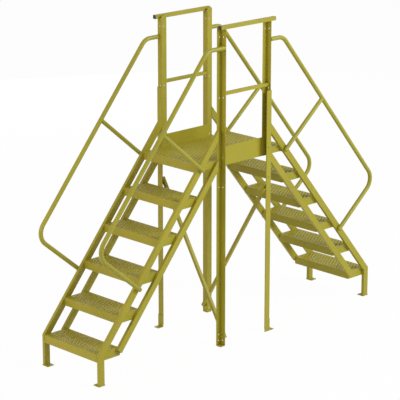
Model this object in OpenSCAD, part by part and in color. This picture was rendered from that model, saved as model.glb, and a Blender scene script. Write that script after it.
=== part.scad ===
// Crossover bridge: two stair flights up to a guarded deck on a tower of four angle legs.
// Units are millimetres. X runs along the walk, Y across it and Z up; the origin is on the floor below the middle of the deck.
// The back guard and the right flight are the front guard and the left flight turned half round about Z.

/* [Overall] */
// Height of the walking deck above the floor
deck_height = 1524; // [1470:1:1580]
// Length of the deck along the walk, nosing to nosing
deck_length = 968; // [930:1:1010]
// Width of the treads and the deck between the stringers
tread_width = 611; // [590:1:632]
// Length of the leg tower along the walk, over its posts
tower_length = 562; // [540:1:585]
// Height of the top rails above the deck
guard_height = 1067; // [1030:1:1100]

/* [Flights] */
// Going of one step
step_run = 211.5; // [205:0.5:218]
// Depth of a tread from its nosing to its back
tread_depth = 228.6; // [222:0.2:236]
// Depth of a stringer tube seen from the side
stringer_depth = 50.8; // [47:0.1:54]
// Width of a stringer tube across the flight
stringer_width = 25.4; // [23:0.1:28]
// Wall of the stringer tubes
stringer_wall = 2.5; // [2:0.1:3]
// Distance square to the slope between the front edges of the two stringers of a side
stringer_spacing = 150; // [145:1:155]
// How far below the first tread's top the rear stringers end
rear_end_drop = 40; // [32:1:48]
// Side of the square foot plates
foot_plate = 63.5; // [60:0.5:70]
// Thickness of the foot plates
foot_plate_thick = 6; // [5:0.5:8]
// Diameter of the anchor holes in the foot plates
anchor_hole = 12; // [10:0.5:14]

/* [Pans] */
// Sheet of the tread and deck pans
pan_sheet = 3; // [2.5:0.1:4]
// Height of the turned-down lips of the pans
pan_lip = 63.5; // [58:0.5:68]
// Height of the turned-down sides of the deck
deck_side = 50.8; // [47:0.1:54]
// Diameter of the perforations
perf_hole = 14; // [11:0.5:16]
// Spacing of the perforations across the walk
perf_pitch = 31; // [29:0.5:33]
// Spacing of the perforation rows along the walk
perf_row = 25; // [24:0.5:26]

/* [Tower] */
// Flange of the leg angles
leg_flange = 50.8; // [48:0.1:54]
// Thickness of the leg and upright angles
angle_thick = 4.8; // [4:0.1:6]
// Height of the legs above the deck
leg_rise = 486; // [470:1:500]
// Reach of the foot clips of the legs
clip_reach = 52; // [48:1:58]
// Height of the foot clips of the legs
clip_height = 104; // [95:1:115]
// Thickness of the foot clips of the legs
clip_thick = 5; // [4:0.5:6]
// Side of the square brace tubes
brace_size = 25.4; // [23:0.1:28]
// Wall of the brace tubes
brace_wall = 2; // [1.5:0.1:2.5]
// Height of a brace's axis at the outer edge of its high post
brace_high = 1235; // [1220:1:1250]
// Height of a brace's axis at the outer edge of its low post
brace_low = 34; // [28:1:40]
// Length by which a brace stops short of the outer edge of its low post
brace_short = 30; // [27:0.5:34]
// Height of the bolt holes in the legs below the deck
leg_hole_height = 1308; // [1290:1:1325]
// Height of the upper bolt holes at the feet
foot_hole_high = 89; // [84:1:95]
// Height of the lower bolt holes at the feet
foot_hole_low = 40; // [36:1:45]
// Diameter of the bolt holes in the angles
bolt_hole = 11; // [9:0.5:13]

/* [Guards] */
// Thickness of the toe boards
toe_thick = 3.2; // [2.5:0.1:4]
// Height of the toe boards above the deck
toe_rise = 102; // [95:1:110]
// Flange of the upright angles along the walk
upright_flange = 50.8; // [48:0.1:54]
// Side of the square top rails
rail_size = 30; // [28:0.5:32]
// Wall of the top and mid rails
rail_wall = 2; // [1.5:0.1:2.5]
// Overhang of the top rails past the tower
rail_overhang = 38; // [30:1:45]
// Side of the square mid rails
mid_size = 25.4; // [23:0.1:28]
// Height of the middle of the mid rails above the deck
mid_rise = 529; // [520:1:545]
// Thickness of the plug heads in the top rail ends
plug_head = 2.5; // [2:0.1:4]
// Depth of the plugs inside the rail ends
plug_depth = 18; // [14:1:24]

/* [Handrails] */
// Outside diameter of the handrail tube
tube_size = 35; // [33:0.5:37]
// Wall of the handrail tube
tube_wall = 3.2; // [3:0.1:4]
// Share of the handrail's diameter that the strut has
strut_share = 0.95; // [0.9:0.01:0.97]
// Depth to which a tube beds on the stringer face
tube_bed = 2.5; // [2:0.1:2.8]
// Height of a handrail above the nosing line
handrail_rise = 813; // [790:1:835]
// Height of the level top of a handrail above the deck
handrail_top = 891; // [870:1:910]
// Radius of the handrail bends
bend_radius = 110; // [95:1:125]
// Extra diameter of the tube at its bends
bend_swell = 0.2; // [0.1:0.05:0.3]
// Height on the nosing line where the handrail comes back to the stringer
return_height = 706; // [680:1:730]
// Height on the nosing line where the strut meets the stringer
strut_height = 1512; // [1480:1:1520]
// Length by which a tube end laps the stringer
tube_lap = 41; // [36:1:45]

/* [Hidden] */
risers = 6;
rise = deck_height / risers;
slope = atan2(rise, step_run);
half_deck = deck_length / 2;
half_tread = tread_width / 2;
half_tower = tower_length / 2;
stringer_face = half_tread + stringer_width;
half_width = half_tread + toe_thick + leg_flange;
upright_side = leg_flange - angle_thick;
leg_top = deck_height + leg_rise;
rail_top = deck_height + guard_height;
frame_bottom = deck_height - deck_side;
post_x = half_tower - leg_flange;
post_y = half_tread + toe_thick;
hole_x = half_tower - angle_thick - upright_flange / 2;
hole_y = half_width - angle_thick - upright_side / 2;
upright_holes = [rail_top - rail_size - 3 * bolt_hole - rail_size, leg_top + bolt_hole + angle_thick / 2, deck_height + 2 * bolt_hole];
leg_holes = [deck_height + 2 * bolt_hole, leg_hole_height];
post_holes_low = [leg_hole_height, foot_hole_high, foot_hole_low];
first_x = -half_deck - (risers - 1) * step_run;
first_z = rise;
slope_back = [sin(slope), -cos(slope)];
handrail_lift = handrail_rise * cos(slope);
over = 2 * pan_sheet;
bend_lap_share = 5;
circle_parts = 48;
hole_parts = 24;
yellow = [0.70, 0.65, 0.18];
black = [0.05, 0.05, 0.05];

// Height of a line that lies a given depth square below the nosing line of the left flight
function line_z(x, depth) = first_z + (x - first_x) * rise / step_run - depth / cos(slope);
// Place along the walk where the nosing line of the left flight has a given height
function nosing_x(z) = first_x + (z - first_z) * step_run / rise;

// Turns a shape half round about the tower's axis
module half_turn() { rotate([0, 0, 180]) children(); }

// Extrudes a side view, drawn in X and Z, from y_low over a width across the walk
module side_view(y_low, width) { translate([0, y_low + width, 0]) rotate([90, 0, 0]) linear_extrude(height = width) children(); }

// Staggered round perforations centred on the origin, for a sheet of the given length and width
module perforation(length, width) {
  rows = floor((length - 2 * perf_row) / perf_row) + 1;
  columns = floor((width - 2 * perf_pitch) / perf_pitch) + 1;
  for (i = [0 : rows - 1], j = [0 : columns - 1])
    translate([(i - (rows - 1) / 2) * perf_row, (j - (columns - 1) / 2) * perf_pitch + (i % 2 == 0 ? -perf_pitch / 4 : perf_pitch / 4)])
      circle(d = perf_hole, $fn = hole_parts);
}

// Open pan with a perforated top at the given height, starting at x
module pan(x, z, length, side) {
  difference() {
    union() {
      translate([x, -half_tread, z - side]) cube([length, tread_width, side]);
      translate([x, -half_tread, z - pan_lip]) cube([pan_sheet, tread_width, pan_lip]);
      translate([x + length - pan_sheet, -half_tread, z - pan_lip]) cube([pan_sheet, tread_width, pan_lip]);
    }
    translate([x + pan_sheet, pan_sheet - half_tread, z - pan_lip - pan_sheet]) cube([length - 2 * pan_sheet, tread_width - 2 * pan_sheet, pan_lip]);
    translate([x + length / 2, 0, z - over]) linear_extrude(height = 2 * over) perforation(length, tread_width);
  }
}

module platform_deck() color(yellow) pan(-half_deck, deck_height, deck_length, deck_side);

// Side plate of the deck that rises to a toe board between the posts
module toe_board_front() color(yellow) {
  translate([-half_tower, -post_y, frame_bottom]) cube([tower_length, toe_thick, deck_side]);
  translate([-post_x, -post_y, frame_bottom]) cube([half_tower + post_x, toe_thick, deck_side + toe_rise]);
}
module toe_board_back() half_turn() toe_board_front();

// Angle section with its heel at the origin and its flanges along the signs given
module angle_section(sx, sy, fx, fy, thick) {
  translate([sx > 0 ? 0 : -fx, sy > 0 ? 0 : -thick]) square([fx, thick]);
  translate([sx > 0 ? 0 : -thick, sy > 0 ? 0 : -fy]) square([thick, fy]);
}

// Bolt holes through both flanges of a post that opens outwards, at the given heights
module post_holes(heel_x, flange, levels) {
  for (z = levels) {
    translate([heel_x - flange / 2, -post_y - angle_thick - over, z]) rotate([-90, 0, 0]) cylinder(d = bolt_hole, h = angle_thick + 2 * over, $fn = hole_parts);
    translate([heel_x - angle_thick - over, -hole_y, z]) rotate([0, 90, 0]) cylinder(d = bolt_hole, h = angle_thick + 2 * over, $fn = hole_parts);
  }
}

// Bolt holes through both flanges at the given heights, for the front corner on the side sx
module corner_holes(sx, levels, flange_x) {
  for (z = levels) {
    translate([sx * hole_x, -half_width - over, z]) rotate([-90, 0, 0]) cylinder(d = bolt_hole, h = leg_flange / 2 + over, $fn = hole_parts);
    translate([flange_x - leg_flange / 4, -hole_y, z]) rotate([0, 90, 0]) cylinder(d = bolt_hole, h = leg_flange / 2, $fn = hole_parts);
  }
}

module leg_front_left() color(yellow) difference() {
  plate = leg_flange - angle_thick / 2;
  anchor = (leg_flange - angle_thick) / 2;
  union() {
    translate([-post_x, -post_y, 0]) linear_extrude(height = frame_bottom) angle_section(-1, -1, leg_flange, leg_flange, angle_thick);
    translate([-half_tower, -half_width, 0]) cube([plate, plate, clip_thick]);
  }
  post_holes(-post_x, leg_flange, post_holes_low);
  translate([anchor - half_tower, anchor - half_width, -over]) cylinder(d = anchor_hole, h = 2 * over + clip_thick, $fn = hole_parts);
}
module leg_back_right() half_turn() leg_front_left();

module leg_front_right() color(yellow) difference() {
  union() {
    translate([half_tower, -half_width, 0]) linear_extrude(height = leg_top) angle_section(-1, 1, leg_flange, leg_flange, angle_thick);
    translate([half_tower, -half_width, 0]) cube([clip_reach, leg_flange, clip_thick]);
    translate([half_tower, -half_width, 0]) cube([clip_thick, leg_flange, clip_height]);
  }
  corner_holes(1, leg_holes, half_tower);
  translate([half_tower + clip_thick + (clip_reach - clip_thick) / 2, -half_width + leg_flange / 2, -over]) cylinder(d = anchor_hole, h = 2 * over + clip_thick, $fn = hole_parts);
}
module leg_back_left() half_turn() leg_front_right();

// View along the walk of the left brace, drawn in by a wall and run past its ends by a length
module brace_view(wall, past) {
  lean = atan2(brace_high - brace_low, 2 * half_width);
  side = brace_size / 2 - wall;
  top = [half_width + past, brace_high + past * tan(lean)];
  tip = [-half_width, brace_low] + (brace_short - past) * [cos(lean), sin(lean)];
  upward = side * [-sin(lean), cos(lean)];
  polygon([top - [0, side / cos(lean)], top + [0, side / cos(lean)], tip + upward, tip - upward]);
}

// Tube brace of the left end frame, from high on the back post to low on the front post
module brace_left() color(yellow) difference() {
  translate([-post_x, 0, 0]) rotate([90, 0, 90]) linear_extrude(height = brace_size) brace_view(0, 0);
  translate([brace_wall - post_x, 0, 0]) rotate([90, 0, 90]) linear_extrude(height = brace_size - 2 * brace_wall) brace_view(brace_wall, over);
}
module brace_right() half_turn() brace_left();

module upright_front_left() color(yellow) difference() {
  translate([-post_x, -post_y, frame_bottom])
    linear_extrude(height = rail_top - rail_size - frame_bottom) angle_section(-1, -1, leg_flange, leg_flange, angle_thick);
  post_holes(-post_x, leg_flange, upright_holes);
}
module upright_back_right() half_turn() upright_front_left();

module upright_front_right() color(yellow) difference() {
  translate([half_tower - angle_thick, -post_y, frame_bottom])
    linear_extrude(height = rail_top - rail_size - frame_bottom) angle_section(-1, -1, upright_flange, upright_side, angle_thick);
  post_holes(half_tower - angle_thick, upright_flange, upright_holes);
}
module upright_back_left() half_turn() upright_front_right();

// Square tube along the walk from a corner point
module square_tube(corner, length, size) {
  translate(corner) difference() {
    cube([length, size, size]);
    translate([-over, rail_wall, rail_wall]) cube([length + 2 * over, size - 2 * rail_wall, size - 2 * rail_wall]);
  }
}

module top_rail_front() color(yellow)
  square_tube([-half_tower, -half_width, rail_top - rail_size], tower_length + rail_overhang, rail_size);
module top_rail_back() half_turn() top_rail_front();

module mid_rail_front() color(yellow)
  square_tube([-post_x, -post_y - angle_thick - mid_size, deck_height + mid_rise - mid_size / 2], post_x + half_tower - 2 * angle_thick, mid_size);
module mid_rail_back() half_turn() mid_rail_front();

// Plug for a top rail end: a head outside and a body inside
module plug() color(black) {
  bore = rail_size - 2 * rail_wall;
  translate([-plug_head, 0, 0]) cube([plug_head, rail_size, rail_size]);
  translate([-plug_head / 2, rail_wall, rail_wall]) cube([plug_depth + plug_head / 2, bore, bore]);
}
module plug_front_left() translate([-half_tower, -half_width, rail_top - rail_size]) plug();
module plug_front_right() translate([half_tower + rail_overhang, -half_width + rail_size, rail_top - rail_size]) half_turn() plug();
module plug_back_right() half_turn() plug_front_left();
module plug_back_left() half_turn() plug_front_right();

module left_tread(i) color(yellow) pan(first_x + (i - 1) * step_run, i * rise, tread_depth, pan_lip);
module left_tread_1() left_tread(1);
module left_tread_2() left_tread(2);
module left_tread_3() left_tread(3);
module left_tread_4() left_tread(4);
module left_tread_5() left_tread(5);
module right_tread_1() half_turn() left_tread(1);
module right_tread_2() half_turn() left_tread(2);
module right_tread_3() half_turn() left_tread(3);
module right_tread_4() half_turn() left_tread(4);
module right_tread_5() half_turn() left_tread(5);

// Side view of a front stringer with its mitred leg, drawn in by a wall on its long edges and run past its ends by a length
module front_stringer_view(wall, past) {
  polygon([
    [first_x + wall, foot_plate_thick - past],
    [first_x + wall, line_z(first_x + wall, wall)],
    [-half_tower + past, line_z(-half_tower + past, wall)],
    [-half_tower + past, line_z(-half_tower + past, stringer_depth - wall)],
    [first_x + stringer_depth - wall, line_z(first_x + stringer_depth - wall, stringer_depth - wall)],
    [first_x + stringer_depth - wall, foot_plate_thick - past]
  ]);
}

// Front stringer of the left flight on the near side, with its foot plate
module front_stringer_near() color(yellow) {
  difference() {
    side_view(-stringer_face, stringer_width) front_stringer_view(0, 0);
    side_view(-stringer_face + stringer_wall, stringer_width - 2 * stringer_wall) front_stringer_view(stringer_wall, over);
  }
  difference() {
    translate([first_x + (stringer_depth - foot_plate) / 2, -stringer_face, 0]) cube([foot_plate, foot_plate, foot_plate_thick]);
    translate([first_x + stringer_depth / 2, -half_tread + (foot_plate - stringer_width) / 2, -over]) cylinder(d = anchor_hole, h = 2 * over + foot_plate_thick, $fn = hole_parts);
  }
}

// Side view of a rear stringer, drawn in by a wall and run past its ends by a length
module rear_stringer_view(wall, past) {
  depth = stringer_spacing + stringer_depth;
  tip_x = first_x + (depth / cos(slope) - rear_end_drop) * step_run / rise;
  tip_z = first_z - rear_end_drop;
  polygon([
    [tip_x - wall * sin(slope) - past * cos(slope), tip_z + wall * cos(slope) - past * sin(slope)],
    [tip_x - (stringer_depth - wall) * sin(slope) - past * cos(slope), tip_z + (stringer_depth - wall) * cos(slope) - past * sin(slope)],
    [-half_tower + past, line_z(-half_tower + past, stringer_spacing + wall)],
    [-half_tower + past, line_z(-half_tower + past, depth - wall)]
  ]);
}

// Rear stringer of the left flight on the near side
module rear_stringer_near() color(yellow) difference() {
  side_view(-stringer_face, stringer_width) rear_stringer_view(0, 0);
  side_view(-stringer_face + stringer_wall, stringer_width - 2 * stringer_wall) rear_stringer_view(stringer_wall, over);
}

module left_front_stringer_near() front_stringer_near();
module left_front_stringer_far() mirror([0, 1, 0]) front_stringer_near();
module left_rear_stringer_near() rear_stringer_near();
module left_rear_stringer_far() mirror([0, 1, 0]) rear_stringer_near();
module right_front_stringer_near() mirror([1, 0, 0]) front_stringer_near();
module right_front_stringer_far() half_turn() front_stringer_near();
module right_rear_stringer_near() mirror([1, 0, 0]) rear_stringer_near();
module right_rear_stringer_far() half_turn() rear_stringer_near();

// Round rod in the side view from a point over a length in a direction given in degrees
module rod(p, heading, length, size) {
  translate([p[0], 0, p[1]]) rotate([0, 90 - heading, 0]) cylinder(d = size, h = length, $fn = circle_parts);
}

// Bend of a round rod in the side view about a centre, from one angle on by a turn
module bend(centre, start, turn, size) {
  translate([centre[0], 0, centre[1]]) rotate([90, 0, 0]) rotate([0, 0, start])
    rotate_extrude(angle = turn, $fn = circle_parts) translate([bend_radius, 0]) circle(d = size, $fn = circle_parts);
}

// Places a shape in the handrail's own side view: X up the slope and Z square away from it, from the lower corner
module on_slope() {
  foot = [nosing_x(return_height), return_height];
  corner = foot - slope_back * handrail_lift;
  translate([corner[0], 0, corner[1]]) rotate([0, -slope, 0]) children();
}

// Handrail of the left flight on the plane y = 0, as rods of one size; its level end stops at a post's face, short by a cap
module handrail_rods(start_x, size, cap, past) {
  top_z = deck_height + handrail_top;
  corner_x = nosing_x(top_z - handrail_rise);
  set_high = bend_radius * tan(slope / 2);
  run_length = (top_z - handrail_rise - return_height) / sin(slope) + handrail_rise * sin(slope) - set_high - bend_radius;
  rod([start_x - cap, top_z], 180, start_x - cap - corner_x - set_high + bend_swell * bend_lap_share, size);
  bend([corner_x + set_high, top_z - bend_radius], 90, slope, size + bend_swell);
  on_slope() {
    rod([bend_radius - bend_swell * bend_lap_share, 0], 0, run_length + 2 * bend_swell * bend_lap_share, size);
    bend([bend_radius, -bend_radius], 90, 90, size + bend_swell);
    rod([0, -bend_radius + bend_swell * bend_lap_share], 270, handrail_lift - bend_radius + bend_swell * bend_lap_share + tube_lap + past, size);
  }
}

// Strut between a handrail and the stringer, starting a length below the handrail's axis
module strut_rod(size, start, past) {
  on_slope() rod([(strut_height - return_height) / sin(slope), -start], 270, handrail_lift - start + tube_lap + past, size);
}

// Handrail on the near side, bedded on the outer face of the front stringer, with its level end at start_x
module handrail_near(start_x) color(yellow) difference() {
  translate([0, -stringer_face - tube_size / 2 + tube_bed, 0]) difference() {
    union() {
      handrail_rods(start_x, tube_size, 0, 0);
      strut_rod(tube_size * strut_share, 0, 0);
    }
    handrail_rods(start_x, tube_size - 2 * tube_wall, tube_wall, over);
    strut_rod(tube_size * strut_share - 2 * tube_wall, tube_size, over);
  }
  side_view(-stringer_face, stringer_width) front_stringer_view(0, 0);
}

module left_handrail_near() handrail_near(-post_x - angle_thick);
module left_handrail_far() mirror([0, 1, 0]) handrail_near(angle_thick - half_tower);
module right_handrail_near() mirror([1, 0, 0]) handrail_near(angle_thick - half_tower);
module right_handrail_far() half_turn() handrail_near(-post_x - angle_thick);

platform_deck();
toe_board_front();
toe_board_back();
leg_front_left();
leg_front_right();
leg_back_left();
leg_back_right();
brace_left();
brace_right();
upright_front_left();
upright_front_right();
upright_back_left();
upright_back_right();
top_rail_front();
top_rail_back();
mid_rail_front();
mid_rail_back();
plug_front_left();
plug_front_right();
plug_back_left();
plug_back_right();
left_tread_1();
left_tread_2();
left_tread_3();
left_tread_4();
left_tread_5();
left_front_stringer_near();
left_front_stringer_far();
left_rear_stringer_near();
left_rear_stringer_far();
left_handrail_near();
left_handrail_far();
right_tread_1();
right_tread_2();
right_tread_3();
right_tread_4();
right_tread_5();
right_front_stringer_near();
right_front_stringer_far();
right_rear_stringer_near();
right_rear_stringer_far();
right_handrail_near();
right_handrail_far();
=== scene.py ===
# %% [markdown]
# # Crossover bridge
# The object is a steel stair that carries a person over a pipe run or a conveyor: two steep
# flights, a guarded deck between them and a tower of four angle legs. It is welded from tube,
# angle and punched sheet, and then powder coated in safety yellow. The solids already hold every
# tube and sheet, so this lesson adds what a coating shop and a welder leave behind: weld beads,
# raised rims round the punched holes, domed ends on the tubes, the tops of the posts, and a
# believable coat.

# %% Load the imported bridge
import math

import bpy
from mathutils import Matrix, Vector


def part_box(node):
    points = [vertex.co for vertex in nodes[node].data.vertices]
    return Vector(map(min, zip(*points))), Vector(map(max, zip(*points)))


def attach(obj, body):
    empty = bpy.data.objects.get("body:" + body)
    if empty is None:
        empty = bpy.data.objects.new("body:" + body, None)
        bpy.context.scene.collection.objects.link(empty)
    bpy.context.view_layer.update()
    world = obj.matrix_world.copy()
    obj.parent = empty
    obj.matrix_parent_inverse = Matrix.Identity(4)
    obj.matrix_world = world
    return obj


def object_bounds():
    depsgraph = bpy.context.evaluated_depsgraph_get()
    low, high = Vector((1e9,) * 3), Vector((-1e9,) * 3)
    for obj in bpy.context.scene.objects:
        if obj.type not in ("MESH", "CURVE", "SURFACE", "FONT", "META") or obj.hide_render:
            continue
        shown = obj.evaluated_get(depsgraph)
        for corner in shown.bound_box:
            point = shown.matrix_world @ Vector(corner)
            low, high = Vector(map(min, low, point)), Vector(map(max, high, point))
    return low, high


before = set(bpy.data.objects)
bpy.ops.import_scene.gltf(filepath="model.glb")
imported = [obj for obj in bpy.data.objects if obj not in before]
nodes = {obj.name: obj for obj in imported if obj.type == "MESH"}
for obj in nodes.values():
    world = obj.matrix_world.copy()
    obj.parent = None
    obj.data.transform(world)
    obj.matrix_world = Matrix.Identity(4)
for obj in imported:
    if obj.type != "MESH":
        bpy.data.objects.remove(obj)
cad_low, cad_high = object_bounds()
print("solids:", len(nodes), "box from", tuple(cad_low), "to", tuple(cad_high))

# %% [markdown]
# ## Camera
# The photograph is taken from front left with a long lens that looks down by about 16 degrees. The
# place, the angles and the lens come from matching known corners of the bridge to where they lie in
# the picture, so they are typed in as they were found. A square frame uses the whole sensor width.

# %% Camera
camera_place = (-10.210, -10.229, 5.203)
camera_tilt = math.radians(74.12)
camera_turn = math.radians(-44.50)
camera_lens = 168.17
sensor_width = 36.0
sight_range = 200.0


def put_in_scene(name, data):
    """A new object in the scene, made from a mesh, a lamp or a camera."""
    made = bpy.data.objects.new(name, data)
    bpy.context.scene.collection.objects.link(made)
    return made


camera_data = bpy.data.cameras.new("photo_camera")
camera_data.lens = camera_lens
camera_data.sensor_width = sensor_width
camera_data.clip_end = sight_range
camera = put_in_scene("photo_camera", camera_data)
camera.location = camera_place
camera.rotation_euler = (camera_tilt, 0.0, camera_turn)
bpy.context.scene.camera = camera
print("camera at", camera_place, "lens", camera_lens)

# %% [markdown]
# ## Sizes read from the frame
# Small pieces have to sit on the steel that carries them, so their places come from the packed
# nodes. The first two treads give the rise and the going, and these give the nosing line.

# %% Sizes of the stair
tread_low, tread_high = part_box("left_tread_1")
second_low, second_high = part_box("left_tread_2")
rise = second_high.z - tread_high.z
going = second_low.x - tread_low.x
slope = math.atan2(rise, going)
stringer_face = -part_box("left_front_stringer_near")[0].y
first_nosing = Vector((tread_low.x, tread_high.z))
slope_up = Vector((math.cos(slope), math.sin(slope)))
slope_back = Vector((math.sin(slope), -math.cos(slope)))
print("rise", round(rise, 4), "going", round(going, 4), "slope", round(math.degrees(slope), 2))


def nosing_x(height):
    """Place along the walk where the left flight's nosing line has a height."""
    return first_nosing.x + (height - first_nosing.y) * going / rise


# %% [markdown]
# ## The coat
# Powder coat is baked plastic paint. Close up it has an orange-peel skin, a slightly uneven gloss,
# and a thinner, paler film on sharp edges; that paler edge colour is also a painted highlight,
# standing in for light caught on the rounded edges. The bump comes from a fine noise, the gloss
# from a broader one, and the pale edge from comparing the true normal with a rounded one. The noise
# reads Object
# coordinates: every piece sits at the origin, so the pattern runs on from one piece to the next and
# stays at its real scale.

# %% Helpers for node trees
def add_node(tree, kind, values=None, **settings):
    """Adds a node, sets its properties, and sets the inputs that values names or numbers."""
    made = tree.nodes.new(kind)
    for name, value in settings.items():
        setattr(made, name, value)
    for name, value in (values or {}).items():
        made.inputs[name].default_value = value
    return made


def calc(tree, operation, first, second=None):
    """A sum, product or other step on two values, each a socket or a number."""
    made = add_node(tree, "ShaderNodeMath", operation=operation)
    for socket, value in zip(made.inputs, (first, second)):
        if isinstance(value, bpy.types.NodeSocket):
            tree.links.new(value, socket)
        elif value is not None:
            socket.default_value = value
    return made.outputs["Value"]


# %% Helpers for finishes
def new_material(name):
    """A material whose tree has only a shader and an output, and the place that textures read."""
    made = bpy.data.materials.new(name)
    made.use_nodes = True
    tree = made.node_tree
    tree.nodes.clear()
    shader = add_node(tree, "ShaderNodeBsdfPrincipled")
    output = add_node(tree, "ShaderNodeOutputMaterial")
    tree.links.new(shader.outputs["BSDF"], output.inputs["Surface"])
    return made, tree, shader, add_node(tree, "ShaderNodeTexCoord").outputs["Object"]


def add_noise(tree, place, **values):
    """A noise that reads a place, with its inputs given by their names."""
    made = add_node(tree, "ShaderNodeTexNoise", values)
    tree.links.new(place, made.inputs["Vector"])
    return made.outputs["Fac"]


def add_skin(tree, shader, height, strength, depth, normal=None):
    """Bump on a shader from a height, laid over a normal where one is given."""
    made = add_node(tree, "ShaderNodeBump", {"Strength": strength, "Distance": depth})
    tree.links.new(height, made.inputs["Height"])
    if normal is not None:
        tree.links.new(normal, made.inputs["Normal"])
    tree.links.new(made.outputs["Normal"], shader.inputs["Normal"])


def remap(tree, value, low, high, to_low, to_high):
    """Maps a value from one range to another, held inside the new range."""
    made = add_node(tree, "ShaderNodeMapRange", {1: low, 2: high, 3: to_low, 4: to_high})
    tree.links.new(value, made.inputs["Value"])
    return made.outputs["Result"]


def blend_colours(tree, share, first, second):
    """Mixes two colours, each given as a socket or as plain numbers."""
    made = add_node(tree, "ShaderNodeMix", data_type="RGBA")
    tree.links.new(share, made.inputs[0])
    for socket, colour in ((made.inputs[6], first), (made.inputs[7], second)):
        if isinstance(colour, bpy.types.NodeSocket):
            tree.links.new(colour, socket)
        else:
            socket.default_value = (*colour, 1.0)
    return made.outputs[2]


# %% Powder coat
noise_middle = (0.35, 0.65)
noise_wide = (0.3, 0.7)
cloud_scale = 2.4
scuff_scale = 38.0
peel_scale = 380.0
peel_strength = 0.25
peel_depth = 0.0004
edge_radius = 0.0012
edge_agree = (0.99, 0.80)
# Largest share of the pale edge colour: part thinner film, part painted highlight for light caught
# on the rounded edge.
edge_wear_and_highlight_share = 0.55
scuff_share = (0.2, 1.0)
film_shares = (0.93, 1.05)


def edge_wear_and_highlight(tree, rounded, scuff):
    """How much pale colour an edge gets, part thin film and part painted highlight: none on a flat
    face, up to edge_wear_and_highlight_share on a sharp edge.
    """
    agree = add_node(tree, "ShaderNodeVectorMath", operation="DOT_PRODUCT")
    true_normal = add_node(tree, "ShaderNodeNewGeometry").outputs["Normal"]
    tree.links.new(rounded, agree.inputs[0])
    tree.links.new(true_normal, agree.inputs[1])
    edge = remap(tree, agree.outputs["Value"], *edge_agree, 0.0, edge_wear_and_highlight_share)
    return calc(tree, "MULTIPLY", edge, remap(tree, scuff, *noise_middle, *scuff_share))


def powder_coat(name, colour, pale_wear_and_highlight, rough, shine):
    """Satin powder coat with orange peel, uneven gloss, and edges painted paler: part thin film,
    part painted highlight.
    """
    made, tree, shader, place = new_material(name)
    cloud = add_noise(tree, place, Scale=cloud_scale, Detail=4.0)
    peel = add_noise(tree, place, Scale=peel_scale, Detail=2.0)
    scuff = add_noise(tree, place, Scale=scuff_scale, Detail=5.0, Roughness=0.7)
    rounding = add_node(tree, "ShaderNodeBevel", {"Radius": edge_radius}, samples=4)
    rounded = rounding.outputs["Normal"]

    deep, light = [tuple(share * channel for channel in colour) for share in film_shares]
    film = blend_colours(tree, remap(tree, cloud, *noise_middle, 0.0, 1.0), deep, light)
    # Sharp edges are mixed towards the pale colour, which is a painted highlight as well as a
    # thinner film.
    film = blend_colours(tree, edge_wear_and_highlight(tree, rounded, scuff), film, pale_wear_and_highlight)
    tree.links.new(film, shader.inputs["Base Color"])
    tree.links.new(remap(tree, scuff, *noise_wide, *rough), shader.inputs["Roughness"])
    shader.inputs["Specular IOR Level"].default_value = shine
    add_skin(tree, shader, peel, peel_strength, peel_depth, rounded)
    return made


# %% The two coats
# Each pale colour is the edge colour: thinner film and painted highlight together.
yellow_coat = powder_coat(
    "yellow_coat",
    colour=(0.380, 0.327, 0.025),
    pale_wear_and_highlight=(0.51, 0.455, 0.10),
    rough=(0.38, 0.52),
    shine=0.3,
)
tube_coat = powder_coat(
    "tube_coat",
    colour=(0.355, 0.322, 0.024),
    pale_wear_and_highlight=(0.48, 0.44, 0.09),
    rough=(0.24, 0.34),
    shine=0.32,
)
print("coats:", yellow_coat.name, tube_coat.name)

# %% [markdown]
# ## Moulded plugs
# The ends of the top rails are closed by black moulded plugs. Moulded plastic has a fine spark
# texture and a dull, slightly greyed bloom, which a fine noise and a broad one give.

# %% Plug plastic
grain_scale = 900.0
grain_strength = 0.4
grain_depth = 0.0002
bloom_scale = 60.0
bloom_range = (0.35, 0.7)
plug_black = (0.010, 0.010, 0.010)
plug_grey = (0.022, 0.022, 0.021)
plug_rough = (0.48, 0.62)


def plug_plastic(name):
    """Matt black plastic with a fine moulded grain."""
    made, tree, shader, place = new_material(name)
    grain = add_noise(tree, place, Scale=grain_scale, Detail=2.0)
    bloom = add_noise(tree, place, Scale=bloom_scale, Detail=3.0)
    share = remap(tree, bloom, *bloom_range, 0.0, 1.0)
    colour = blend_colours(tree, share, plug_black, plug_grey)
    tree.links.new(colour, shader.inputs["Base Color"])
    tree.links.new(remap(tree, bloom, *noise_wide, *plug_rough), shader.inputs["Roughness"])
    add_skin(tree, shader, grain, grain_strength, grain_depth)
    return made


black_plastic = plug_plastic("black_plastic")
print("plastic:", black_plastic.name)


# %% Coat the solids
def coat_of(name):
    """The finish of a node, chosen by its name."""
    if name.startswith("plug"):
        return black_plastic
    if "handrail" in name:
        return tube_coat
    return yellow_coat


for name, piece in nodes.items():
    piece.data.materials.clear()
    piece.data.materials.append(coat_of(name))
print("coated", len(nodes), "nodes")

# %% [markdown]
# ## Trees that make what repeats
# A Geometry Nodes tree takes a plain mesh of points or edges and builds one small shape on each of
# them. Each tree has named inputs for its sizes and ends by realizing its instances and setting the
# material. The result is then turned into a plain mesh, because an export drops live instances.

# %% Helpers for trees
def new_tree(name, inputs):
    """A tree with a geometry in, a geometry out and the inputs given as names with socket kinds."""
    tree = bpy.data.node_groups.new(name, "GeometryNodeTree")
    tree.interface.new_socket("Geometry", in_out="INPUT", socket_type="NodeSocketGeometry")
    for label, kind in inputs:
        tree.interface.new_socket(label, in_out="INPUT", socket_type=kind)
    tree.interface.new_socket("Geometry", in_out="OUTPUT", socket_type="NodeSocketGeometry")
    return tree, add_node(tree, "NodeGroupInput"), add_node(tree, "NodeGroupOutput")


def split_place(tree):
    """The three coordinates of each point, as sockets."""
    split = add_node(tree, "ShaderNodeSeparateXYZ")
    place = add_node(tree, "GeometryNodeInputPosition").outputs["Position"]
    tree.links.new(place, split.inputs["Vector"])
    return split.outputs


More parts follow.
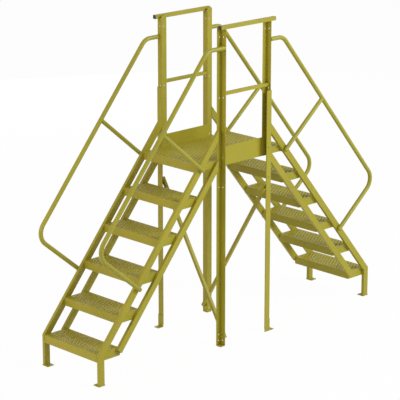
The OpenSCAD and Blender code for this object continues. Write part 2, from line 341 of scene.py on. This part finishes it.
def finish_tree(tree, shape, entry, leave):
    """Realizes the instances, smooths them, sets the material and sends the shape out."""
    whole = add_node(tree, "GeometryNodeRealizeInstances")
    smooth = add_node(tree, "GeometryNodeSetShadeSmooth")
    painted = add_node(tree, "GeometryNodeSetMaterial")
    tree.links.new(shape, whole.inputs["Geometry"])
    tree.links.new(whole.outputs["Geometry"], smooth.inputs["Geometry"])
    tree.links.new(smooth.outputs["Geometry"], painted.inputs["Geometry"])
    tree.links.new(entry.outputs["Material"], painted.inputs["Material"])
    tree.links.new(painted.outputs["Geometry"], leave.inputs["Geometry"])


def run_tree(name, tree, base, values):
    """Runs a tree on a base mesh and keeps the result as a plain mesh that rides on the bridge."""
    holder = put_in_scene(name + "_base", base)
    modifier = holder.modifiers.new("make", "NODES")
    modifier.node_group = tree
    for socket in tree.interface.items_tree:
        if socket.in_out == "INPUT" and socket.name in values:
            modifier[socket.identifier] = values[socket.name]
    graph = bpy.context.evaluated_depsgraph_get()
    mesh = bpy.data.meshes.new_from_object(holder.evaluated_get(graph))
    mesh.name = name
    bpy.data.objects.remove(holder)
    piece = put_in_scene(name, mesh)
    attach(piece, "root")
    print(name, "faces:", len(mesh.polygons))


# %% [markdown]
# Rims and domes both stand on points, and each point also says how its shape is turned. The base
# mesh carries that as an attribute, and the tree reads it by its name.

# %% Shapes on turned points
def turned_points(name, places, turns):
    """A mesh of points that carries how each of them is turned."""
    mesh = bpy.data.meshes.new(name)
    mesh.from_pydata(places, [], [])
    turn = mesh.attributes.new("turn", "FLOAT_VECTOR", "POINT")
    for item, angles in zip(turn.data, turns):
        item.vector = angles
    return mesh


def on_turned_points(tree, entry, shape):
    """A shape on each point of the base mesh, turned as the point says."""
    made = add_node(tree, "GeometryNodeInstanceOnPoints")
    turn = add_node(
        tree, "GeometryNodeInputNamedAttribute", {"Name": "turn"}, data_type="FLOAT_VECTOR"
    )
    tree.links.new(entry.outputs["Geometry"], made.inputs["Points"])
    tree.links.new(shape, made.inputs["Instance"])
    tree.links.new(turn.outputs["Attribute"], made.inputs["Rotation"])
    return made.outputs["Instances"]


# %% [markdown]
# ## Rims of the punched holes
# The treads and the deck are punched from below, so each hole has a low raised rim that grips a
# boot. The holes lie in staggered rows that are centred on the sheet. The tree makes the same grid,
# shifts every other row, and puts a small ring on each point. A ring sits half in the sheet, and
# its inner side lines up with the wall of the hole.

# %% Grid of the holes
rim_inputs = [
    ("Rows", "NodeSocketInt"),
    ("Columns", "NodeSocketInt"),
    ("Row spacing", "NodeSocketFloat"),
    ("Pitch", "NodeSocketFloat"),
    ("Hole radius", "NodeSocketFloat"),
    ("Rim radius", "NodeSocketFloat"),
    ("Material", "NodeSocketMaterial"),
]


def staggered_grid(tree, entry):
    """Points in rows centred on the origin, where every other row is half a pitch further on."""
    rows, columns = entry.outputs["Rows"], entry.outputs["Columns"]
    spacing, pitch = entry.outputs["Row spacing"], entry.outputs["Pitch"]
    wide = calc(tree, "MULTIPLY", calc(tree, "SUBTRACT", rows, 1.0), spacing)
    deep = calc(tree, "MULTIPLY", calc(tree, "SUBTRACT", columns, 1.0), pitch)
    grid = add_node(tree, "GeometryNodeMeshGrid")
    tree.links.new(wide, grid.inputs["Size X"])
    tree.links.new(deep, grid.inputs["Size Y"])
    tree.links.new(rows, grid.inputs["Vertices X"])
    tree.links.new(columns, grid.inputs["Vertices Y"])

    from_edge = calc(tree, "ADD", split_place(tree)["X"], calc(tree, "MULTIPLY", wide, 0.5))
    row = calc(tree, "ROUND", calc(tree, "DIVIDE", from_edge, spacing))
    side = calc(tree, "SUBTRACT", calc(tree, "FLOORED_MODULO", row, 2.0), 0.5)
    shift = add_node(tree, "ShaderNodeCombineXYZ")
    half_pitch = calc(tree, "MULTIPLY", pitch, 0.5)
    tree.links.new(calc(tree, "MULTIPLY", side, half_pitch), shift.inputs["Y"])
    stagger = add_node(tree, "GeometryNodeSetPosition")
    tree.links.new(grid.outputs["Mesh"], stagger.inputs["Geometry"])
    tree.links.new(shift.outputs["Vector"], stagger.inputs["Offset"])
    return stagger.outputs["Geometry"]


# %% Tree for the rims
rim_steps = 12
rim_sides = 4


def rim_tree():
    """Rings on a staggered grid, repeated at each point of the base mesh and turned as it says."""
    tree, entry, leave = new_tree("hole_rims", rim_inputs)
    hole, rim = entry.outputs["Hole radius"], entry.outputs["Rim radius"]
    path = add_node(tree, "GeometryNodeCurvePrimitiveCircle", {"Resolution": rim_steps})
    section = add_node(tree, "GeometryNodeCurvePrimitiveCircle", {"Resolution": rim_sides})
    tree.links.new(calc(tree, "ADD", hole, rim), path.inputs["Radius"])
    tree.links.new(rim, section.inputs["Radius"])
    ring = add_node(tree, "GeometryNodeCurveToMesh")
    tree.links.new(path.outputs["Curve"], ring.inputs["Curve"])
    tree.links.new(section.outputs["Curve"], ring.inputs["Profile Curve"])

    rings = add_node(tree, "GeometryNodeInstanceOnPoints")
    tree.links.new(staggered_grid(tree, entry), rings.inputs["Points"])
    tree.links.new(ring.outputs["Mesh"], rings.inputs["Instance"])
    sheets = on_turned_points(tree, entry, rings.outputs["Instances"])
    finish_tree(tree, sheets, entry, leave)
    return tree


# %% Rims on the treads and the deck
hole_pitch = 0.031
hole_row = 0.025
hole_radius = 0.007
rim_radius = 0.0013
count_slack = 1e-6


def sheet_points(name, names):
    """One point at the middle of the top of each sheet; sheets of the right flight are turned."""
    boxes = [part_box(node) for node in names]
    places = [((a.x + b.x) / 2, (a.y + b.y) / 2, b.z) for a, b in boxes]
    turns = [(0.0, 0.0, math.pi if node.startswith("right") else 0.0) for node in names]
    return turned_points(name, places, turns)


def holes_that_fit(length, spacing):
    """How many holes go into a length with one spacing left free at each end."""
    return math.floor((length - 2 * spacing) / spacing + count_slack) + 1


def rims_on(name, names, tree):
    """Rims on like sheets, with as many rows and columns as fit their length and width."""
    low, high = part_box(names[0])
    values = {
        "Rows": holes_that_fit(high.x - low.x, hole_row),
        "Columns": holes_that_fit(high.y - low.y, hole_pitch),
        "Row spacing": hole_row,
        "Pitch": hole_pitch,
        "Hole radius": hole_radius,
        "Rim radius": rim_radius,
        "Material": yellow_coat,
    }
    run_tree(name, tree, sheet_points(name + "_points", names), values)


tread_names = [f"{side}_tread_{step}" for side in ("left", "right") for step in range(1, 6)]
rims = rim_tree()
rims_on("tread_hole_rims", tread_names, rims)
rims_on("deck_hole_rims", ["platform_deck"], rims)

# %% [markdown]
# ## Closed ends of the handrail tubes
# Each handrail comes back to its flight with two free ends, its own lower end and the strut's, and
# both are closed with a shallow dome so that no water stands in the tube. A ball is pressed flat
# below its waist and low above it, and the tree puts one on each end, turned along the tube.

# %% Places on a handrail
tube_radius = 0.0175
strut_share = 0.95
strut_radius = strut_share * tube_radius
tube_bed = 0.0025
tube_lap = 0.041
return_height = 0.706
strut_height = 1.512
handrail_height = 0.813
handrail_lift = handrail_height * math.cos(slope)
tube_y = tube_bed - stringer_face - tube_radius
four_sides = [(along, across) for along in (1, -1) for across in (1, -1)]


def tube_point(height, depth, along=0.0, across=0.0):
    """A point by the left near handrail: depth square below the nosing line, along and across."""
    place = Vector((nosing_x(height), height)) + slope_back * depth + slope_up * along
    return (place.x, tube_y + across, place.y)


def mirrored(path, along, across):
    """The same path at the other end or side of the bridge."""
    return [(along * x, across * y, z) for x, y, z in path]


print("handrail tubes at y", round(tube_y, 4), "and", round(-tube_y, 4))

# %% Tree for the domes
dome_segments = 24
dome_rings = 12
dome_inputs = [
    ("Radius", "NodeSocketFloat"),
    ("Dome", "NodeSocketFloat"),
    ("Seat", "NodeSocketFloat"),
    ("Material", "NodeSocketMaterial"),
]


def dome_tree():
    """A shallow dome on each point of the base mesh, turned as the point says."""
    tree, entry, leave = new_tree("tube_domes", dome_inputs)
    sizes = entry.outputs
    form = {"Segments": dome_segments, "Rings": dome_rings, "Radius": 1.0}
    ball = add_node(tree, "GeometryNodeMeshUVSphere", form)
    place = split_place(tree)
    above = calc(tree, "MULTIPLY", calc(tree, "MAXIMUM", place["Z"], 0.0), sizes["Dome"])
    below = calc(tree, "MULTIPLY", calc(tree, "MINIMUM", place["Z"], 0.0), sizes["Seat"])
    press = add_node(tree, "ShaderNodeCombineXYZ")
    for axis in ("X", "Y"):
        tree.links.new(calc(tree, "MULTIPLY", place[axis], sizes["Radius"]), press.inputs[axis])
    tree.links.new(calc(tree, "ADD", above, below), press.inputs["Z"])
    dome = add_node(tree, "GeometryNodeSetPosition")
    tree.links.new(ball.outputs["Mesh"], dome.inputs["Geometry"])
    tree.links.new(press.outputs["Vector"], dome.inputs["Position"])
    domes = on_turned_points(tree, entry, dome.outputs["Geometry"])
    finish_tree(tree, domes, entry, leave)
    return tree


# %% Domes on the tube ends
dome_height = 0.007
dome_seat = 0.001


def domes_on(name, height, radius, tree):
    """A dome on the free end that each of the four handrails has at a height."""
    places = [mirrored([tube_point(height, tube_lap)], *side)[0] for side in four_sides]
    turns = [(0.0, along * (math.pi - slope), 0.0) for along, across in four_sides]
    values = {"Radius": radius, "Dome": dome_height, "Seat": dome_seat, "Material": tube_coat}
    run_tree(name, tree, turned_points(name + "_points", places, turns), values)


domes = dome_tree()
domes_on("handrail_end_domes", return_height, tube_radius, domes)
domes_on("strut_end_domes", strut_height, strut_radius, domes)

# %% [markdown]
# ## Weld beads
# Every joint of the bridge is welded. A bead is a rope of small overlapping puddles, so the tree
# turns each path into a curve, puts points along it, lets the radius swell and shrink with each
# puddle, and sweeps a small circle along it. The bead lies in the corner between the two pieces.

# %% Tree for the beads
bead_radius = 0.0028
bead_sides = 6
puddle = 0.006
puddle_swell = 0.12
bead_inputs = [
    ("Bead radius", "NodeSocketFloat"),
    ("Puddle", "NodeSocketFloat"),
    ("Material", "NodeSocketMaterial"),
]


def bead_tree():
    """A rippled bead along each edge path of the base mesh."""
    tree, entry, leave = new_tree("weld_beads", bead_inputs)
    line = add_node(tree, "GeometryNodeMeshToCurve")
    tree.links.new(entry.outputs["Geometry"], line.inputs["Mesh"])
    fine = add_node(tree, "GeometryNodeResampleCurve", mode="LENGTH")
    tree.links.new(line.outputs["Curve"], fine.inputs["Curve"])
    tree.links.new(calc(tree, "MULTIPLY", entry.outputs["Puddle"], 0.5), fine.inputs["Length"])
    along = add_node(tree, "GeometryNodeSplineParameter").outputs["Length"]
    puddles = calc(tree, "DIVIDE", along, entry.outputs["Puddle"])
    wave = calc(tree, "COSINE", calc(tree, "MULTIPLY", puddles, 2.0 * math.pi))
    swell = calc(tree, "ADD", calc(tree, "MULTIPLY", wave, puddle_swell), 1.0)
    thick = add_node(tree, "GeometryNodeSetCurveRadius")
    tree.links.new(fine.outputs["Curve"], thick.inputs["Curve"])
    tree.links.new(swell, thick.inputs["Radius"])
    section = add_node(tree, "GeometryNodeCurvePrimitiveCircle", {"Resolution": bead_sides})
    tree.links.new(entry.outputs["Bead radius"], section.inputs["Radius"])
    bead = add_node(tree, "GeometryNodeCurveToMesh", {"Fill Caps": True})
    tree.links.new(thick.outputs["Curve"], bead.inputs["Curve"])
    tree.links.new(section.outputs["Curve"], bead.inputs["Profile Curve"])
    radius = add_node(tree, "GeometryNodeInputRadius")
    tree.links.new(radius.outputs["Radius"], bead.inputs["Scale"])
    finish_tree(tree, bead.outputs["Mesh"], entry, leave)
    return tree


# %% Beads on paths
beads = bead_tree()


def path_mesh(name, paths):
    """A mesh of edges that joins the points of each path."""
    points = [point for path in paths for point in path]
    edges = []
    start = 0
    for path in paths:
        edges += [(start + step, start + step + 1) for step in range(len(path) - 1)]
        start += len(path)
    mesh = bpy.data.meshes.new(name)
    mesh.from_pydata(points, edges, [])
    return mesh


def bead_piece(name, paths, coat):
    """Beads on a set of paths, as one piece."""
    values = {"Bead radius": bead_radius, "Puddle": puddle, "Material": coat}
    run_tree(name, beads, path_mesh(name + "_paths", paths), values)


# %% Beads on the treads and the deck
def tread_paths(name):
    """Beads at the four corners where a sheet's lips meet the stringers."""
    low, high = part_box(name)
    return [
        [(x, y, low.z + bead_radius), (x, y, high.z - bead_radius)]
        for x in (low.x, high.x)
        for y in (low.y, high.y)
    ]


sheet_names = tread_names + ["platform_deck"]
paths = [path for name in sheet_names for path in tread_paths(name)]
bead_piece("tread_welds", paths, yellow_coat)

# %% Beads on the feet
plate_top = 0.006
leg_depth = 0.0508
leg_front, leg_back = tread_low.x, tread_low.x + leg_depth
foot_path = [
    (leg_front, -stringer_face, plate_top),
    (leg_front, tread_low.y, plate_top),
    (leg_back, tread_low.y, plate_top),
    (leg_back, -stringer_face, plate_top),
]
bead_piece("foot_welds", [mirrored(foot_path, *side) for side in four_sides], yellow_coat)

# %% [markdown]
# Where a handrail lies on the stringer it is welded along both sides. The strut is cut to a saddle
# that fits the handrail, and its bead follows that saddle: round the strut, the bead dips by as
# much as the handrail's round falls away.

# %% Beads on the handrails
ring_steps = 24


def lap_paths(height, radius):
    """Beads on both sides of a tube end where it beds on the stringer's face."""
    half_bed = math.sqrt(tube_radius**2 - (tube_radius - tube_bed) ** 2) * radius / tube_radius
    across = -stringer_face - tube_y
    return [
        [tube_point(height, depth, side * half_bed, across) for depth in (bead_radius, tube_lap)]
        for side in (1, -1)
    ]


def saddle_path():
    """The bead round the strut where it meets the underside of the handrail."""
    path = []
    for step in range(ring_steps + 1):
        angle = 2.0 * math.pi * step / ring_steps
        along, across = strut_radius * math.cos(angle), strut_radius * math.sin(angle)
        drop = math.sqrt(tube_radius**2 - across**2)
        path.append(tube_point(strut_height, drop - handrail_lift, along, across))
    return path


handrail_paths = [
    *lap_paths(return_height, tube_radius),
    *lap_paths(strut_height, strut_radius),
    saddle_path(),
]
paths = [mirrored(path, *side) for path in handrail_paths for side in four_sides]
bead_piece("handrail_welds", paths, tube_coat)

# %% [markdown]
# The guard rails are welded to the posts. The front mid rail butts against the flange of the left
# post with a bead on its four sides, and the back one is the front one turned half round.

# %% Beads on the mid rails
mid_low, mid_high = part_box("mid_rail_front")
mid_path = [
    (mid_low.x, y, z)
    for y, z in (
        (mid_low.y, mid_low.z),
        (mid_high.y, mid_low.z),
        (mid_high.y, mid_high.z),
        (mid_low.y, mid_high.z),
        (mid_low.y, mid_low.z),
    )
]
bead_piece("mid_rail_welds", [mid_path, mirrored(mid_path, -1, -1)], yellow_coat)

# %% [markdown]
# ## Tops of the posts
# The flange of each post that lies along the walk runs on behind the top rail and ends just below
# its top. The solids stop under the rail, so a short plate with clipped corners carries it on.
# It starts inside the flange, a hair thinner, so no seam shows. Two plates are drawn for the back
# posts, and the front ones are their half turn.

# %% Outline of a plate
flange_thick = 0.0048
plate_lap = 0.012
plate_inset = 0.0001
plate_clip = 0.004
plate_drop = 0.007
rail_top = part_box("top_rail_back")[1].z


def plate_points(node):
    """The two outlines of a plate on a back post: its near side, then its far side."""
    low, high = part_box(node)
    left, right = low.x + plate_inset, high.x - plate_inset
    bottom, top = high.z - plate_lap, rail_top - plate_drop
    outline = [
        (left, bottom),
        (right, bottom),
        (right, top - plate_clip),
        (right - plate_clip, top),
        (left + plate_clip, top),
        (left, top - plate_clip),
    ]
    sides = (low.y + plate_inset, low.y + flange_thick - plate_inset)
    return [(x, y, z) for y in sides for x, z in outline]


def plate_faces(start, count):
    """The faces between two outlines of count points, numbered from start."""
    near = [start + step for step in range(count)]
    far = [start + count + step for step in range(count)]
    walls = [(near[step - 1], far[step - 1], far[step], near[step]) for step in range(count)]
    return [tuple(near), tuple(reversed(far))] + walls


print("plates up to", round(rail_top - plate_drop, 4))

# %% Plates on the posts
plates = [plate_points(node) for node in ("upright_back_right", "upright_back_left")]
plates += [mirrored(plate, -1, -1) for plate in plates]
top_points = []
top_faces = []
for plate in plates:
    top_faces += plate_faces(len(top_points), len(plate) // 2)
    top_points += plate
top_mesh = bpy.data.meshes.new("post_tops")
top_mesh.from_pydata(top_points, [], top_faces)
top_mesh.materials.append(yellow_coat)
post_tops = put_in_scene("post_tops", top_mesh)
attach(post_tops, "root")
print("post_tops faces:", len(top_faces))

# %% [markdown]
# ## Floor and light
# The photograph has a plain white ground. The floor answers camera rays mostly with plain white and
# keeps a share of its shading, so a soft shadow stays under the feet. The light is a broad soft
# source at the front right, a weaker one at the left and one low behind, with an even sky. The one
# behind keeps the back from going dull, and it is left out of reflections, because seen from the
# front it would lay a sheen on the treads.

# %% Floor
floor_half = 60.0
floor_white = 0.97
floor_shade = (0.86, 0.86, 0.85, 1.0)
plain_white = (1.0, 1.0, 1.0, 1.0)


def plain_rays(tree):
    """1 for rays from the camera, off a gloss or through glass, and 0 for those that light."""
    rays = add_node(tree, "ShaderNodeLightPath").outputs
    seen = calc(tree, "ADD", rays["Is Camera Ray"], rays["Is Glossy Ray"])
    return calc(tree, "MINIMUM", calc(tree, "ADD", seen, rays["Is Transmission Ray"]), 1.0)


def mix_shaders(tree, share, first, second, output):
    """Mixes the shaders of two nodes by a share and sends the result to a new output."""
    mix = add_node(tree, "ShaderNodeMixShader")
    for socket, value in zip(mix.inputs, (share, first.outputs[0], second.outputs[0])):
        tree.links.new(value, socket)
    tree.links.new(mix.outputs[0], add_node(tree, output).inputs["Surface"])


def floor_material():
    """White to the camera and in reflections, with a share of real shading for the shadow."""
    made = bpy.data.materials.new("pale_floor")
    made.use_nodes = True
    tree = made.node_tree
    tree.nodes.clear()
    shaded = add_node(tree, "ShaderNodeBsdfDiffuse", {"Color": floor_shade})
    plain = add_node(tree, "ShaderNodeEmission", {"Color": plain_white, "Strength": 1.0})
    share = calc(tree, "MULTIPLY", plain_rays(tree), floor_white)
    mix_shaders(tree, share, shaded, plain, "ShaderNodeOutputMaterial")
    return made


floor_mesh = bpy.data.meshes.new("floor")
corners = [(x * floor_half, y * floor_half) for x, y in ((-1, -1), (1, -1), (1, 1), (-1, 1))]
floor_mesh.from_pydata([(x, y, cad_low.z) for x, y in corners], [], [(0, 1, 2, 3)])
floor_mesh.materials.append(floor_material())
floor = put_in_scene("floor", floor_mesh)
print("floor at height", cad_low.z)

# %% Light
light_size = 5.0


def soft_light(name, place, power, colour):
    """A square soft source at a place, aimed at the middle of the bridge."""
    data = bpy.data.lights.new(name, "AREA")
    data.shape = "SQUARE"
    data.size = light_size
    data.energy = power
    data.color = colour
    lamp = put_in_scene(name, data)
    lamp.location = place
    middle = (cad_low + cad_high) / 2
    lamp.rotation_euler = (middle - Vector(place)).to_track_quat("-Z", "Y").to_euler()
    print("light", name, "of", power, "W at", place)
    return lamp


soft_light("key", (4.5, -7.4, 6.0), 700.0, (0.95, 1.0, 0.90))
soft_light("fill", (-8.0, 0.5, 4.5), 295.0, (1.0, 0.91, 1.0))
back_light = soft_light("back", (5.0, 8.5, 1.8), 260.0, (1.0, 0.97, 0.95))
back_light.visible_glossy = False

# %% Sky
sky_colour = (1.0, 0.97, 0.93, 1.0)
sky_strength = 0.36

world = bpy.data.worlds.new("studio")
bpy.context.scene.world = world
world.use_nodes = True
sky = world.node_tree
sky.nodes.clear()
ambient = add_node(sky, "ShaderNodeBackground", {"Color": sky_colour, "Strength": sky_strength})
white = add_node(sky, "ShaderNodeBackground", {"Color": plain_white, "Strength": 1.0})
mix_shaders(sky, plain_rays(sky), ambient, white, "ShaderNodeOutputWorld")
bpy.context.scene.view_settings.view_transform = "Standard"
print("sky strength", sky_strength)
